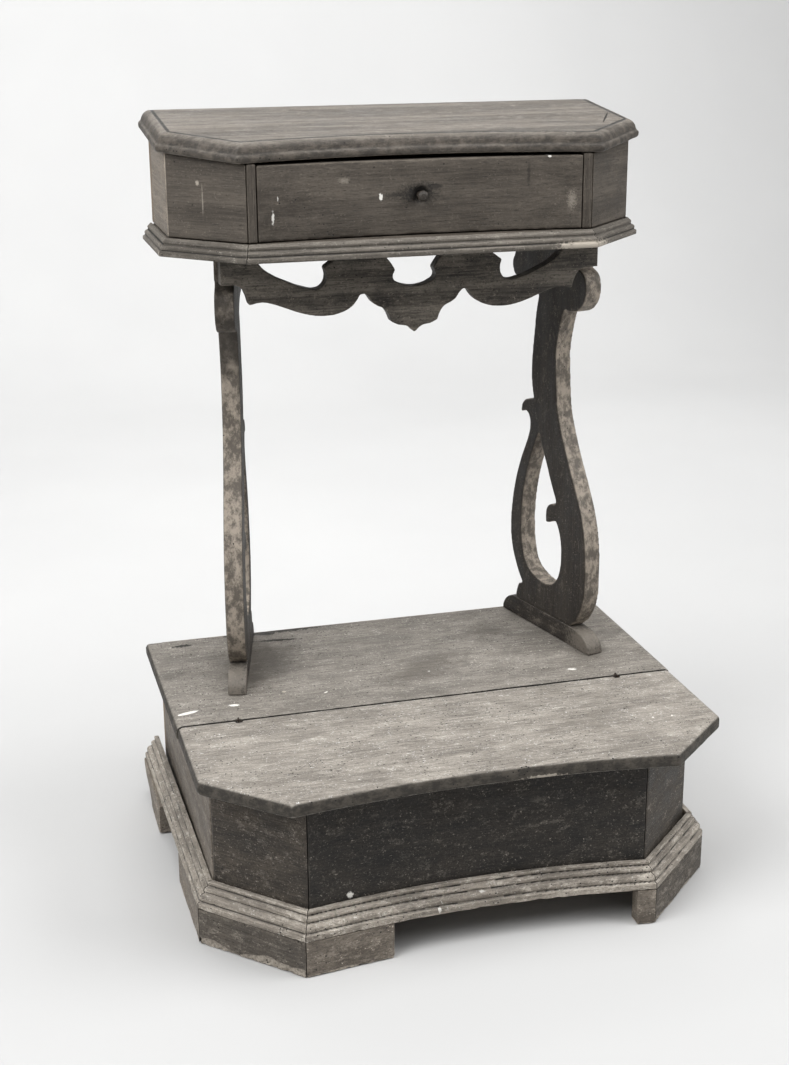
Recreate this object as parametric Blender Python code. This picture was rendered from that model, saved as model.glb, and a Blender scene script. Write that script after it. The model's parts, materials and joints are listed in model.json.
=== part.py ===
"""Kneeling desk (prie-dieu): a box base with a hinged kneeling lid, two scrolled supports and a desk box
with a drawer. Metres, +Z up, the kneeler's side is -Y, origin at the middle of the floor footprint."""

import math

import bmesh
import bpy
from mathutils import Matrix, Vector

GAP = 0.0003  # between pieces that touch

# Base box
BASE_HALF_WIDTH = 0.284
BASE_CANT_Y = -0.134
BASE_FRONT_HALF = 0.195
BASE_FRONT_Y = -0.224
BASE_BACK_Y = 0.2510
BASE_HOLLOW = 0.017  # how far the front bows inward at its middle
BASE_BOTTOM_Z = 0.046
BASE_BOARD = 0.018
PLINTH_BACK_Y = 0.2580
PLINTH_Z = (0.0440, 0.0737)
PLINTH_OUT = 0.0195
PLINTH_SPRUNG = 0.0060  # how far the side strips have sprung off the box at their rear ends
PLINTH_RIGHT_OUT = 0.0035  # how far the right-hand canted strip stands off at its outer corner
REAR_FOOT_OUT = 0.3115  # outer face of the rear feet
FOOT_BOARD = 0.0170

# Kneeling surface: the rear board is fixed, the front one is the lid
KNEEL_Z = 0.2180
KNEEL_BOARD = 0.0170
KNEEL_HALF_WIDTH = 0.304
LID_HALF_WIDTH = 0.3025
LID_CANT_Y = -0.178
LID_FRONT_HALF = 0.217
LID_FRONT_Y = -0.258
LID_HOLLOW = 0.018
KNEEL_BACK_Y = 0.230
SEAM_Y = -0.037
SEAM_GAP = 0.0014
HINGE_X = 0.232
HINGE_DEPTH = 0.0
EYE_RADIUS = 0.0025
EYE_WIRE = 0.0007
SHANK_TILT = math.radians(40)
SHANK_LENGTH = 0.0190

# Supports: flat scroll-sawn boards, toed in towards the back
TOE_IN = math.radians(13.43)
SUPPORT_BOARD = 0.0223
SUPPORT_REAR = Vector((0.1746, 0.2277))  # inner rear foot point of the right-hand support
LEFT_INSET = 0.012  # the left-hand support stands this much nearer the middle
SUPPORT_TOP_Z = 0.7340
RAIL_TOP_Z = 0.2435
TENON = 0.0080
TENON_DEPTH = 0.0100

# Apron between the supports, under the desk
APRON_X = 0.004
APRON_FRONT_Y = 0.0490
APRON_BOARD = 0.0180

# Desk box
DESK_HALF_WIDTH = 0.2713
DESK_CANT_Y = 0.0732
DESK_FRONT_HALF = 0.1957
DESK_FRONT_Y = -0.0052
DESK_BACK_Y = 0.2034
DESK_BOARD = 0.0145
DESK_FLOOR_Z = (SUPPORT_TOP_Z + GAP, 0.7540)
DESK_WALL_Z = 0.7543
DESK_HOLLOW = 0.015
DESK_MOULDING_OUT = 0.0120
TOP_SLOPE = math.radians(6.08)
TOP_FRONT = Vector((0.0, 0.0012, 0.8600))  # middle of the upper face's front chord
TOP_BOARD = 0.0210
TOP_HOLLOW = 0.020
TOP_DEPTH = 0.2085

# Drawer
DRAWER_HALF = 0.1848
DRAWER_TOP_Z = 0.8362
DRAWER_BOX_HALF = 0.170
DRAWER_FRONT_BOARD = 0.018
DRAWER_BOARD = 0.010
DRAWER_BACK_Y = 0.168
KNOB_Z = 0.7970
KNOB_RECESS = 0.0035
KNOB_SHANK = 0.0120
KNOB_SHANK_RADIUS = 0.0040

BODY = bpy.data.collections.new("prie_dieu")
CUTTERS = bpy.data.collections.new("cutters")

WALNUT = (0.16, 0.105, 0.07)
DARK_WALNUT = (0.075, 0.05, 0.035)
GREY_WALNUT = (0.33, 0.26, 0.20)
PINE = (0.36, 0.27, 0.18)
IRON = (0.05, 0.045, 0.04)


def clear_scene():
    for old in list(bpy.data.objects):
        bpy.data.objects.remove(old, do_unlink=True)
    bpy.context.scene.collection.children.link(BODY)
    bpy.context.scene.collection.children.link(CUTTERS)


def finish_of(name, colour, roughness=0.7, metallic=0.0):
    material = bpy.data.materials.new(f"{name}_finish")
    material.use_nodes = True
    shader = material.node_tree.nodes["Principled BSDF"]
    shader.inputs["Base Color"].default_value = (*colour, 1.0)
    shader.inputs["Roughness"].default_value = roughness
    shader.inputs["Metallic"].default_value = metallic
    return material


def add_object(name, bm, colour, origin=(0.0, 0.0, 0.0), metallic=0.0):
    """One sub-part from a bmesh in world coordinates, with its origin at a chosen point."""
    origin = Vector(origin)
    bmesh.ops.recalc_face_normals(bm, faces=bm.faces)
    bmesh.ops.translate(bm, verts=bm.verts, vec=-origin)
    mesh = bpy.data.meshes.new(name)
    bm.to_mesh(mesh)
    bm.free()
    mesh.materials.append(finish_of(name, colour, metallic=metallic))
    piece = bpy.data.objects.new(name, mesh)
    piece.location = origin
    BODY.objects.link(piece)
    return piece


def add_cutter(name, bm):
    bmesh.ops.recalc_face_normals(bm, faces=bm.faces)
    mesh = bpy.data.meshes.new(name)
    bm.to_mesh(mesh)
    bm.free()
    cutter = bpy.data.objects.new(name, mesh)
    cutter.hide_render = True
    cutter.display_type = "WIRE"
    CUTTERS.objects.link(cutter)
    return cutter


def combine(piece, other, operation="DIFFERENCE"):
    modifier = piece.modifiers.new(f"{operation.lower()}_{other.name}", "BOOLEAN")
    modifier.object = other
    modifier.operation = operation
    modifier.solver = "EXACT"


def box_mesh(low, high, turn=None):
    """A cuboid between two corners; turn is a matrix applied afterwards."""
    low, high = Vector(low), Vector(high)
    size = high - low
    bm = bmesh.new()
    place = Matrix.Translation((low + high) / 2) @ Matrix.Diagonal((*size, 1.0))
    bmesh.ops.create_cube(bm, size=1.0, matrix=(turn or Matrix()) @ place)
    return bm


def upright_prism(top, low_z):
    """A prism with vertical walls from its top corners, which may be at different heights."""
    bm = bmesh.new()
    lower = [bm.verts.new((x, y, low_z)) for x, y, _ in top]
    upper = [bm.verts.new(point) for point in top]
    for k in range(len(top)):
        after = (k + 1) % len(top)
        bm.faces.new((lower[k], lower[after], upper[after], upper[k]))
    bm.faces.new(lower)
    bm.faces.new(upper)
    return bm


def rod_mesh(start, end, radius, sides=16):
    start, end = Vector(start), Vector(end)
    along = end - start
    turn = Vector((0, 0, 1)).rotation_difference(along).to_matrix().to_4x4()
    bm = bmesh.new()
    bmesh.ops.create_cone(
        bm, cap_ends=True, segments=sides, radius1=radius, radius2=radius, depth=along.length,
        matrix=Matrix.Translation((start + end) / 2) @ turn,
    )
    return bm


# Plans: a run of corners from the back left, round the front, to the back right


def plan(half_width, cant_y, front_half, front_y, back_y):
    left = [(-half_width, back_y), (-half_width, cant_y), (-front_half, front_y)]
    right = [(-x, y) for x, y in reversed(left)]
    return [Vector(point) for point in left + right]


BASE_PLAN = plan(BASE_HALF_WIDTH, BASE_CANT_Y, BASE_FRONT_HALF, BASE_FRONT_Y, BASE_BACK_Y - BASE_BOARD - GAP)
PLINTH_PLAN = plan(BASE_HALF_WIDTH, BASE_CANT_Y, BASE_FRONT_HALF, BASE_FRONT_Y, PLINTH_BACK_Y)
PLINTH_PLAN[0].x -= PLINTH_SPRUNG
PLINTH_PLAN[-1].x += PLINTH_SPRUNG
PLINTH_PLAN[-2].x += PLINTH_RIGHT_OUT
LID_PLAN = plan(LID_HALF_WIDTH, LID_CANT_Y, LID_FRONT_HALF, LID_FRONT_Y, SEAM_Y - SEAM_GAP / 2)
DESK_PLAN = plan(DESK_HALF_WIDTH, DESK_CANT_Y, DESK_FRONT_HALF, DESK_FRONT_Y, DESK_BACK_Y - DESK_BOARD - GAP)
DESK_EDGE_PLAN = plan(DESK_HALF_WIDTH, DESK_CANT_Y, DESK_FRONT_HALF, DESK_FRONT_Y, DESK_BACK_Y)
TOP_PLAN = plan(0.2692, 0.0704, 0.2015, 0.0, TOP_DEPTH)
FRONT_EDGE = 2


def outward(start, end):
    along = (end - start).normalized()
    return Vector((along.y, -along.x))


def spreads(corners):
    """How each corner moves, for an offset of 1 from every edge that meets there."""
    normals = [outward(a, b) for a, b in zip(corners, corners[1:])]
    result = [normals[0]]
    for first, second in zip(normals, normals[1:]):
        result.append((first + second) / (1 + first.dot(second)))
    return result + [normals[-1]]


def hollow_at(x, half, depth):
    return depth * (1 - (x / half) ** 2)


def edge_stations(corners, edge, hollow=0.0, part=(0.0, 1.0), gap=(True, True), steps=12):
    """(point, spread) pairs along one edge of a plan, bowed inward by hollow, over a part of its length."""
    start, end = corners[edge], corners[edge + 1]
    mitres = spreads(corners)
    along = (end - start).normalized()
    straight = outward(start, end)
    count = steps if hollow else 1
    result = []
    for k in range(count + 1):
        t = part[0] + (part[1] - part[0]) * k / count
        bow = hollow * (1 - (2 * t - 1) ** 2)
        point = start.lerp(end, t) - straight * bow
        spread = straight
        if t == 0.0:
            spread = mitres[edge]
        elif t == 1.0:
            spread = mitres[edge + 1]
        result.append((point, spread))
    if gap[0]:
        result[0] = (result[0][0] + along * GAP / 2, result[0][1])
    if gap[1]:
        result[-1] = (result[-1][0] - along * GAP / 2, result[-1][1])
    return result


def loft(stations, profile, top_z=None):
    """A strip whose profile of (offset outward, z) follows the stations.

    top_z, a height for each y, slopes the strip's upper points."""
    bm = bmesh.new()
    highest = max(z for _, z in profile)
    rings = []
    for point, spread in stations:
        ring = []
        for offset, z in profile:
            place = point + spread * offset
            height = top_z(place.y) if top_z and z == highest else z
            ring.append(bm.verts.new((*place, height)))
        rings.append(ring)
    count = len(profile)
    for first, second in zip(rings, rings[1:]):
        for k in range(count):
            after = (k + 1) % count
            bm.faces.new((first[k], first[after], second[after], second[k]))
    bm.faces.new(rings[0])
    bm.faces.new(rings[-1])
    return bm


def ring_points(corners, hollow, offset, steps=12):
    """The whole plan moved outward by offset; its back edge stays where it is."""
    moved = [corner + spread * offset for corner, spread in zip(corners, spreads(corners))]
    if not hollow:
        return moved
    left, right = moved[FRONT_EDGE], moved[FRONT_EDGE + 1]
    half = max(corners[FRONT_EDGE + 1].x, right.x)
    bowed = []
    for k in range(steps + 1):
        point = left.lerp(right, k / steps)
        bowed.append(point + Vector((0.0, hollow_at(point.x, half, hollow))))
    return moved[:FRONT_EDGE] + bowed + moved[FRONT_EDGE + 2 :]


def stacked(corners, hollow, levels):
    """A board with a shaped edge: the plan at each (offset, z), from the underside up."""
    bm = bmesh.new()
    rings = []
    for offset, z in levels:
        rings.append([bm.verts.new((*point, z)) for point in ring_points(corners, hollow, offset)])
    for lower, upper in zip(rings, rings[1:]):
        for k in range(len(lower)):
            after = (k + 1) % len(lower)
            bm.faces.new((lower[k], lower[after], upper[after], upper[k]))
    bm.faces.new(rings[0])
    bm.faces.new(rings[-1])
    return bm


def board_profile(thickness, low, high):
    return [(0.0, low), (0.0, high), (-thickness, high), (-thickness, low)]


def rounded_edge(low, high, radius, steps=4):
    levels = [(-0.0015, low), (0.0, low + 0.0015)]
    for k in range(steps + 1):
        angle = math.pi / 2 * k / steps
        levels.append((-radius * (1 - math.cos(angle)), high - radius * (1 - math.sin(angle))))
    return levels


def sawn_board(outlines, thickness):
    """A fretted board from 2D outlines of (x, y, corner or smooth), its face in XY, centred on Z."""
    curve = bpy.data.curves.new("outline", "CURVE")
    curve.dimensions = "2D"
    curve.fill_mode = "BOTH"
    curve.extrude = thickness / 2
    curve.resolution_u = 5
    for outline in outlines:
        spline = curve.splines.new("BEZIER")
        spline.bezier_points.add(len(outline) - 1)
        for point, (x, y, corner) in zip(spline.bezier_points, outline):
            point.co = (x, y, 0.0)
            point.handle_left_type = point.handle_right_type = "VECTOR" if corner else "AUTO"
        spline.use_cyclic_u = True
    guide = bpy.data.objects.new("outline", curve)
    BODY.objects.link(guide)
    graph = bpy.context.evaluated_depsgraph_get()
    mesh = bpy.data.meshes.new_from_object(guide.evaluated_get(graph))
    bm = bmesh.new()
    bm.from_mesh(mesh)
    bmesh.ops.remove_doubles(bm, verts=bm.verts, dist=0.00001)
    bpy.data.objects.remove(guide, do_unlink=True)
    bpy.data.meshes.remove(mesh)
    bpy.data.curves.remove(curve)
    return bm


def smooth(*points):
    return [(x / 1000, y / 1000, False) for x, y in points]


def corner(*points):
    return [(x / 1000, y / 1000, True) for x, y in points]


# Base


def build_base_boards():
    high = KNEEL_Z - KNEEL_BOARD - GAP
    profile = board_profile(BASE_BOARD, BASE_BOTTOM_Z, high)
    names = ("base_side_board_left", "base_cant_board_left", "base_front_board",
             "base_cant_board_right", "base_side_board_right")
    for edge, name in enumerate(names):
        hollow = BASE_HOLLOW if edge == FRONT_EDGE else 0.0
        add_object(name, loft(edge_stations(BASE_PLAN, edge, hollow), profile), DARK_WALNUT)
    back = box_mesh((-BASE_HALF_WIDTH, BASE_BACK_Y - BASE_BOARD, BASE_BOTTOM_Z),
                    (BASE_HALF_WIDTH, BASE_BACK_Y, KNEEL_Z - 0.009))
    add_object("base_back_board", back, PINE)


def build_base_inside():
    inset = -(BASE_BOARD + GAP)
    floor_low, floor_high = 0.050, 0.062
    add_object("base_bottom_board",
               stacked(BASE_PLAN, BASE_HOLLOW, [(inset, floor_low), (inset, floor_high)]), PINE)
    rail_top = KNEEL_Z - KNEEL_BOARD - GAP
    rail_half = BASE_HALF_WIDTH - BASE_BOARD - GAP
    rail = box_mesh((-rail_half, SEAM_Y - 0.023, rail_top - 0.018), (rail_half, SEAM_Y + 0.023, rail_top))
    add_object("base_cross_rail", rail, PINE)
    corner_in = BASE_PLAN[FRONT_EDGE + 1] + spreads(BASE_PLAN)[FRONT_EDGE + 1] * (inset - 0.0002)
    leg = 0.028
    cant_way = (BASE_PLAN[FRONT_EDGE + 2] - BASE_PLAN[FRONT_EDGE + 1]).normalized()
    for side, name in ((-1, "base_corner_block_left"), (1, "base_corner_block_right")):
        feet = [corner_in, corner_in + cant_way * leg, corner_in + Vector((-leg, 0.0066))]
        block = upright_prism([(side * p.x, p.y, rail_top - 0.006) for p in feet], floor_high + GAP)
        add_object(name, block, PINE)


def build_plinth():
    low, high = PLINTH_Z
    out = PLINTH_OUT
    steps = [(0.0, 0.0), (0.0, 0.0072), (0.0012, 0.0080), (0.0034, 0.0082), (0.0034, 0.0096), (0.0026, 0.0106),
             (0.0027, 0.0134), (0.0044, 0.0160), (0.0066, 0.0170), (0.0092, 0.0173), (0.0092, 0.0188),
             (0.0082, 0.0198), (0.0085, 0.0222), (0.0108, 0.0240), (0.0138, 0.0243), (0.0138, 0.0258),
             (0.0128, 0.0264), (0.0128, high - low)]
    profile = [(GAP, low)] + [(out - inward, low + up) for inward, up in steps] + [(GAP, high)]
    names = ("plinth_side_left", "plinth_cant_left", "plinth_front", "plinth_cant_right", "plinth_side_right")
    for edge, name in enumerate(names):
        hollow = BASE_HOLLOW if edge == FRONT_EDGE else 0.0
        add_object(name, loft(edge_stations(PLINTH_PLAN, edge, hollow), profile), WALNUT)


def build_feet():
    profile = [(offset + PLINTH_OUT, z) for offset, z in board_profile(FOOT_BOARD, 0.0, PLINTH_Z[0] - GAP)]
    for edge, name in ((1, "foot_cant_left"), (3, "foot_cant_right")):
        add_object(name, loft(edge_stations(PLINTH_PLAN, edge), profile), WALNUT)
    front_length = 2 * BASE_FRONT_HALF
    left_part = (0.0, 0.094 / front_length)
    right_part = (1.0 - 0.014 / front_length, 1.0)
    for name, part in (("foot_front_left", left_part), ("foot_front_right_stub", right_part)):
        stations = edge_stations(PLINTH_PLAN, FRONT_EDGE, BASE_HOLLOW, part,
                                 gap=(part[0] == 0.0, part[1] == 1.0), steps=4)
        add_object(name, loft(stations, profile), WALNUT)
    side_length = PLINTH_BACK_Y - BASE_CANT_Y
    reach = 0.127 / side_length
    side_runs = ((0, "foot_side_front_left", (1.0 - reach, 1.0), (False, True)),
                 (4, "foot_side_front_right", (0.0, reach), (True, False)))
    for edge, name, part, gap in side_runs:
        add_object(name, loft(edge_stations(PLINTH_PLAN, edge, 0.0, part, gap), profile), WALNUT)
    build_rear_feet()


def build_rear_feet():
    top = (PLINTH_Z[0] - GAP) * 1000
    outline = (corner((112, top), (258, top)) + smooth((251, 32), (232, 24), (205, 17))
               + corner((188, 0), (122, 0)) + smooth((118, 22)))
    thick = FOOT_BOARD
    middle = REAR_FOOT_OUT - thick / 2
    upright = Matrix(((0, 0, 1, 0), (1, 0, 0, 0), (0, 1, 0, 0), (0, 0, 0, 1)))
    for side, name in ((-1, "foot_side_rear_left"), (1, "foot_side_rear_right")):
        bm = sawn_board([outline], thick)
        bm.transform(Matrix.Translation((side * middle, 0, 0)) @ upright)
        add_object(name, bm, WALNUT)


def hinge_points():
    height = KNEEL_Z - HINGE_DEPTH
    return [("left", Vector((-HINGE_X, SEAM_Y, height))), ("right", Vector((HINGE_X, SEAM_Y, height)))]


def shank_way(side):
    """Down into the fixed board for side 1, down into the lid for side -1."""
    return Vector((0.0, side * math.cos(SHANK_TILT), -math.sin(SHANK_TILT)))


def build_kneeling_boards():
    low = KNEEL_Z - KNEEL_BOARD
    rounding = rounded_edge(low, KNEEL_Z, 0.006)
    half = KNEEL_HALF_WIDTH
    rear_plan = [Vector(p) for p in ((half, SEAM_Y + SEAM_GAP / 2), (half, KNEEL_BACK_Y),
                                     (-half, KNEEL_BACK_Y), (-half, SEAM_Y + SEAM_GAP / 2))]
    rear = add_object("base_top_board", stacked(rear_plan, 0.0, rounding), GREY_WALNUT)
    lid = add_object("kneeling_lid", stacked(LID_PLAN, LID_HOLLOW, rounding), GREY_WALNUT,
                     origin=(0.0, SEAM_Y, KNEEL_Z - HINGE_DEPTH))
    for name, point in hinge_points():
        pocket = add_cutter(f"hinge_pocket_{name}",
                            box_mesh(point + Vector((-0.0040, -0.0060, -0.0050)),
                                     point + Vector((0.0040, 0.0040, 0.0200))))
        combine(rear, pocket)
        combine(lid, pocket)
        for board, side in ((rear, 1), (lid, -1)):
            way = shank_way(side)
            bore = rod_mesh(point + way * 0.001, point + way * (SHANK_LENGTH + 0.0012), EYE_WIRE + GAP, 10)
            combine(board, add_cutter(f"shank_bore_{board.name}_{name}", bore))
    return rear


def build_hinges():
    for name, point in hinge_points():
        for label, side in (("board", 1), ("lid", -1)):
            way = shank_way(side)
            if side == 1:
                centre = point
                turn = Matrix.Rotation(math.pi / 2, 4, "Y")
                reach = EYE_RADIUS
            else:
                centre = point + way * EYE_RADIUS
                turn = Matrix.Rotation(SHANK_TILT, 4, "X")
                reach = 2 * EYE_RADIUS
            bm = bmesh.new()
            ring_mesh(bm, Matrix.Translation(centre) @ turn)
            origin = Vector((0.0, SEAM_Y, KNEEL_Z - HINGE_DEPTH))
            eye = add_object(f"hinge_eye_{label}_{name}", bm, IRON, origin=origin, metallic=0.8)
            shank = rod_mesh(point + way * (reach - 0.0002), point + way * SHANK_LENGTH, EYE_WIRE * 0.92, 10)
            combine(eye, add_cutter(f"hinge_shank_{label}_{name}", shank), "UNION")


def ring_mesh(bm, place, around=20, across=8):
    """A wire ring of the hinge eye's size in the XY plane of place."""
    rings = []
    for k in range(around):
        angle = 2 * math.pi * k / around
        ring = []
        for j in range(across):
            turn = 2 * math.pi * j / across
            radius = EYE_RADIUS + EYE_WIRE * math.cos(turn)
            local = Vector((radius * math.cos(angle), radius * math.sin(angle), EYE_WIRE * math.sin(turn)))
            ring.append(bm.verts.new(place @ local))
        rings.append(ring)
    for k in range(around):
        first, second = rings[k], rings[(k + 1) % around]
        for j in range(across):
            after = (j + 1) % across
            bm.faces.new((first[j], first[after], second[after], second[j]))


def build_battens():
    top = KNEEL_Z - KNEEL_BOARD - GAP
    for side, name in ((-1, "lid_batten_left"), (1, "lid_batten_right")):
        low = (side * 0.125 - 0.015, -0.190, top - 0.015)
        high = (side * 0.125 + 0.015, SEAM_Y - 0.026, top)
        add_object(name, box_mesh(low, high), PINE, origin=(0.0, SEAM_Y, KNEEL_Z - HINGE_DEPTH))


# Supports


def support_frame(side):
    """Takes (forward, up, outward) of a support to world axes; side is 1 for the right-hand one."""
    forward = Vector((side * math.sin(TOE_IN), -math.cos(TOE_IN), 0.0))
    out = Vector((side * math.cos(TOE_IN), math.sin(TOE_IN), 0.0))
    inset = LEFT_INSET if side < 0 else 0.0
    start = Vector((side * (SUPPORT_REAR.x - inset), SUPPORT_REAR.y, 0.0))
    frame = Matrix.Identity(4)
    frame.col[0][:3] = forward
    frame.col[1][:3] = (0.0, 0.0, 1.0)
    frame.col[2][:3] = out
    frame.col[3][:3] = start
    return frame


def support_outline():
    """Forward and up, in mm: up the front edge, over the head, down the back edge to the foot."""
    low = RAIL_TOP_Z * 1000 + GAP * 1000
    front = (corner((163, low)) + smooth((178, 258), (190, 282), (193.3, 315), (191.3, 353), (183.6, 388),
             (169.6, 420), (151.7, 453), (134, 490), (125, 514), (121, 540), (119, 565), (118, 590),
             (123, 614), (128, 632)) + corner((133, 643)))
    volute = smooth((150, 642.5), (165, 648.5), (174.5, 660), (177, 676), (173, 689)) + corner((161, 696))
    head = corner((156, 700), (164.5, 703), (164.5, SUPPORT_TOP_Z * 1000), (26, SUPPORT_TOP_Z * 1000))
    lobe = smooth((22, 712), (21.5, 698), (16.5, 687), (18, 676), (24, 669.5), (38, 667), (56, 664),
                  (70, 658)) + corner((76.5, 652))
    back = smooth((71.5, 631), (68.5, 607), (65, 580), (63.8, 555), (66, 535)) + corner((70, 520))
    hook = smooth((60, 518), (50, 515)) + corner((43, 508), (41.5, 497)) + smooth((50, 500.5), (57, 499),
           (62, 492), (63, 484), (60, 472), (54, 458), (44, 438), (31.5, 405), (24, 370), (21.8, 340),
           (25, 316), (33, 296), (45, 277)) + corner((52, 268.5))
    heel = corner((43, 264.5)) + smooth((39.5, 257)) + corner((36.5, low))
    return front + volute + head + lobe + back + hook + heel


def teardrop_outline():
    """The opening, from its sharp top round the curl on the front stem and the round bottom."""
    stem = smooth((93, 458), (101, 443), (110, 425), (117.5, 411), (124, 396))
    curl = corner((122, 393.5)) + smooth((113, 392.5), (105, 386), (102.5, 375)) + corner((103.5, 366))
    inner = smooth((111, 367.5), (118, 371)) + corner((125.8, 372.5))
    bowl = smooth((132.6, 361), (138, 340), (136.5, 312), (128, 294), (115, 285.5), (98, 284),
                  (80, 287.5), (61, 298), (51.5, 320), (47.9, 350), (49.5, 380), (54.3, 406), (61, 428),
                  (70, 450))
    return corner((83.8, 481)) + stem + curl + inner + bowl


def rail_outline():
    low = (KNEEL_Z + GAP) * 1000
    high = RAIL_TOP_Z * 1000
    front = corner((205, low)) + smooth((201.5, 229), (192, 237.5), (180, 242)) + corner((167, high))
    rear = corner((30, high)) + smooth((20, 239.5), (12, 233)) + corner((6.4, 224), (6.4, low))
    return front + rear


def tenon_mesh(frame, along, up, slack=0.0):
    """A tenon in the middle of a support's thickness or, with slack, the mortise that takes it."""
    middle = SUPPORT_BOARD / 2
    half = TENON / 2 + slack
    low = (along[0] - slack, up[0] - slack, middle - half)
    high = (along[1] + slack, up[1] + slack, middle + half)
    return box_mesh(low, high, frame)


def build_supports(rear_board, desk_floor):
    foot_along = (0.085, 0.130)
    head_along = (0.060, 0.120)
    foot_low = KNEEL_Z - TENON_DEPTH
    head_high = DESK_FLOOR_Z[0] + TENON_DEPTH
    foot_up = (foot_low, RAIL_TOP_Z + 0.004)
    head_up = (SUPPORT_TOP_Z - 0.004, head_high)
    for side, label in ((-1, "left"), (1, "right")):
        frame = support_frame(side)
        upright = frame @ Matrix.Translation((0, 0, SUPPORT_BOARD / 2))
        board = sawn_board([support_outline(), teardrop_outline()], SUPPORT_BOARD)
        board.transform(upright)
        support = add_object(f"support_{label}", board, DARK_WALNUT)
        foot_tenon = add_cutter(f"foot_tenon_{label}", tenon_mesh(frame, foot_along, foot_up))
        head_tenon = add_cutter(f"head_tenon_{label}", tenon_mesh(frame, head_along, head_up))
        combine(support, foot_tenon, "UNION")
        combine(support, head_tenon, "UNION")
        sawn_rail = sawn_board([rail_outline()], SUPPORT_BOARD)
        sawn_rail.transform(upright)
        rail = add_object(f"foot_rail_{label}", sawn_rail, DARK_WALNUT)
        foot_mortise = add_cutter(f"foot_mortise_{label}", tenon_mesh(frame, foot_along, foot_up, GAP))
        head_mortise = add_cutter(f"head_mortise_{label}", tenon_mesh(frame, head_along, head_up, GAP))
        combine(rail, foot_mortise)
        combine(rear_board, foot_mortise)
        combine(desk_floor, head_mortise)


def apron_outline():
    """Half of the apron from its middle to its right end along the bottom, then back along the top, in mm."""
    top = SUPPORT_TOP_Z * 1000
    bottom = (smooth((9, 644.5), (19, 646.5)) + corner((27.5, 650.5)) + smooth((30.5, 658.5), (35.4, 665.5))
              + corner((43.5, 669.5)) + smooth((49.5, 673.7), (54.5, 681)) + corner((58, 684.2), (64, 683.8))
              + smooth((67.5, 677.5), (74.5, 670), (87, 664), (103, 661.4), (118, 662.5), (135.5, 667),
                       (150, 672.5), (166.5, 678.5), (177, 680.5)) + corner((191.5, 678))
              + smooth((194.5, 689), (199.5, 697.5)) + corner((207, 701.6), (223, 701.6)))
    over = (corner((223, top), (186, top)) + smooth((176, 720), (165, 711), (147, 702), (127, 694.5),
            (114, 692.6), (106, 697), (102.8, 706)) + corner((105, 716)) + smooth((99, 720.5), (91, 726.5))
            + corner((84, top), (41, top)) + smooth((34, 726), (27.5, 718)) + corner((22.5, 710))
            + smooth((25.3, 701), (18, 694.5), (9, 691.5)))
    return bottom, over


def build_apron():
    bottom, over = apron_outline()
    right = [(0.0, 0.637, True)] + bottom + over + [(0.0, 0.6903, False)]
    left = [(-x, y, sharp) for x, y, sharp in reversed(bottom + over)]
    bm = sawn_board([right + left], APRON_BOARD)
    middle = Vector((APRON_X, APRON_FRONT_Y + APRON_BOARD / 2, 0.0))
    bm.transform(Matrix.Translation(middle) @ Matrix.Rotation(math.pi / 2, 4, "X"))
    add_object("apron", bm, DARK_WALNUT)


# Desk


def top_underside(y):
    """Height of the sloping top's underside, less the gap."""
    drop = (TOP_BOARD + GAP) / math.cos(TOP_SLOPE)
    return TOP_FRONT.z - drop + math.tan(TOP_SLOPE) * (y - TOP_FRONT.y)


def build_desk_walls():
    profile = board_profile(DESK_BOARD, DESK_WALL_Z, 1.0)
    for edge, name in ((0, "desk_side_board_left"), (4, "desk_side_board_right")):
        add_object(name, loft(edge_stations(DESK_PLAN, edge), profile, top_underside), WALNUT)
    back = [(Vector((-DESK_HALF_WIDTH, DESK_BACK_Y)), Vector((0, 1))),
            (Vector((DESK_HALF_WIDTH, DESK_BACK_Y)), Vector((0, 1)))]
    add_object("desk_back_board", loft(back, profile, top_underside), PINE)
    for side, label in ((-1, "left"), (1, "right")):
        build_front_corner(side, label)


def build_front_corner(side, label):
    """The narrow stile beside the drawer, and the canted board that butts against it."""
    inner = DRAWER_HALF + 0.0008
    depth = DRAWER_FRONT_BOARD
    set_back = hollow_at(inner, DESK_FRONT_HALF, DESK_HOLLOW)
    stile = [(inner, DESK_FRONT_Y + set_back), (DESK_FRONT_HALF, DESK_FRONT_Y),
             (DESK_FRONT_HALF, DESK_FRONT_Y + depth), (inner, DESK_FRONT_Y + depth)]
    front, cant = DESK_PLAN[FRONT_EDGE + 1], DESK_PLAN[FRONT_EDGE + 2]
    along = (cant - front).normalized()
    inward = -outward(front, cant)
    start_x = DESK_FRONT_HALF + GAP
    outer_start = front + along * (GAP / along.x)
    inner_line = front + inward * DESK_BOARD
    inner_start = inner_line + along * ((start_x - inner_line.x) / along.x)
    mitre = spreads(DESK_PLAN)[FRONT_EDGE + 2]
    end = cant - along * (GAP / 2)
    board = [outer_start, end, end - mitre * DESK_BOARD, inner_start]
    for name, points in ((f"desk_stile_{label}", stile), (f"desk_cant_board_{label}", board)):
        post = upright_prism([(side * x, y, top_underside(y)) for x, y in points], DESK_WALL_Z)
        add_object(name, post, WALNUT)


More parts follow.
